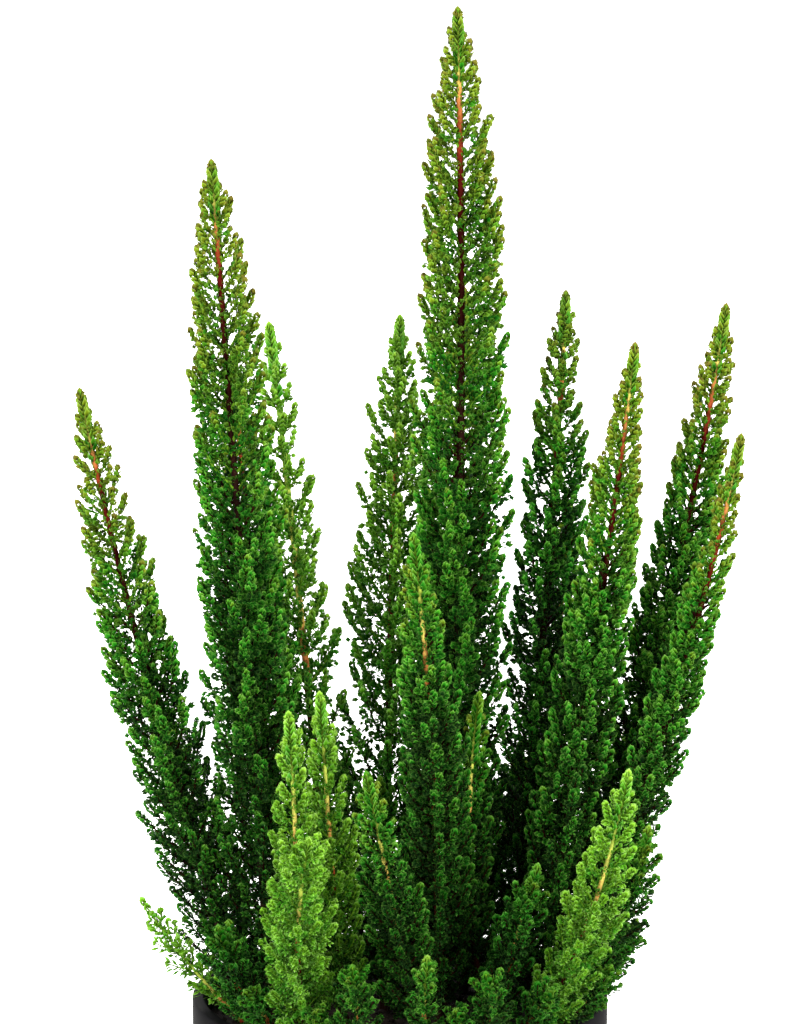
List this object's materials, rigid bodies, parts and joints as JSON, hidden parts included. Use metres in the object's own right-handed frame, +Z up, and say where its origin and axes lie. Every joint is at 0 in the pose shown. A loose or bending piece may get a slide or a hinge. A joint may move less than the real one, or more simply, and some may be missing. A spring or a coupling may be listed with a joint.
{
  "type": "potted heather",
  "caption": "Upright heather without flowers: narrow columns of scale-leaved twigs rising from peat in a plain round nursery pot that stands on its flat foot.",
  "frame": {"origin": "centre of the pot's foot, on the surface that the pot stands on", "axes": "+Z up along the pot's axis and the plant's height, -Y towards the front, +X to the right of it"},
  "size_m": [0.2015, 0.174, 0.399],
  "materials": {
    "foliage_lime": "matte",
    "foliage_green": "matte",
    "foliage_dark": "matte",
    "pot_plastic": "satin",
    "peat": "matte"
  },
  "bodies": {
    "root": {"pot": "pot_plastic", "soil": "peat", "leafy_stem_tallest": "foliage_green", "leafy_stem_tallest_back": "foliage_dark", "leafy_stem_centre_front": "foliage_green", "leafy_stem_centre_small": "foliage_lime", "leafy_stem_far_left": "foliage_green", "leafy_stem_left": "foliage_green", "leafy_stem_left_back": "foliage_lime", "leafy_stem_right": "foliage_dark", "leafy_stem_right_pale": "foliage_green", "leafy_stem_far_right": "foliage_green", "leafy_stem_far_right_pale": "foliage_green", "leafy_stem_front_left_slim": "foliage_lime", "leafy_stem_front_left": "foliage_lime", "leafy_stem_front_left_lime": "foliage_lime", "leafy_stem_front_centre": "foliage_green", "leafy_stem_front_right_lime": "foliage_lime", "leafy_stem_front_sprig": "foliage_lime", "leafy_stem_front_right_sprig": "foliage_green", "leafy_stem_front_right": "foliage_dark", "leafy_stem_front_low": "foliage_green", "leafy_stem_left_loose": "foliage_lime", "leafy_stem_left_low": "foliage_dark", "leafy_stem_right_low": "foliage_green", "leafy_stem_middle": "foliage_dark", "leafy_stem_middle_left": "foliage_dark", "leafy_stem_middle_right": "foliage_dark", "leafy_stem_back_left": "foliage_green", "leafy_stem_back": "foliage_green", "leafy_stem_back_right": "foliage_green", "leafy_stem_back_far_right": "foliage_lime", "leafy_stem_back_far_left": "foliage_green", "leafy_stem_back_low": "foliage_green", "leafy_stem_back_low_left": "foliage_lime", "leafy_stem_back_low_right": "foliage_green", "leafy_stem_rim_right": "foliage_green", "leafy_stem_rim_right_front": "foliage_green", "leafy_stem_rim_front_right": "foliage_dark", "leafy_stem_rim_front": "foliage_dark", "leafy_stem_rim_front_left": "foliage_green", "leafy_stem_rim_left_front": "foliage_dark"}
  },
  "joints": []
}
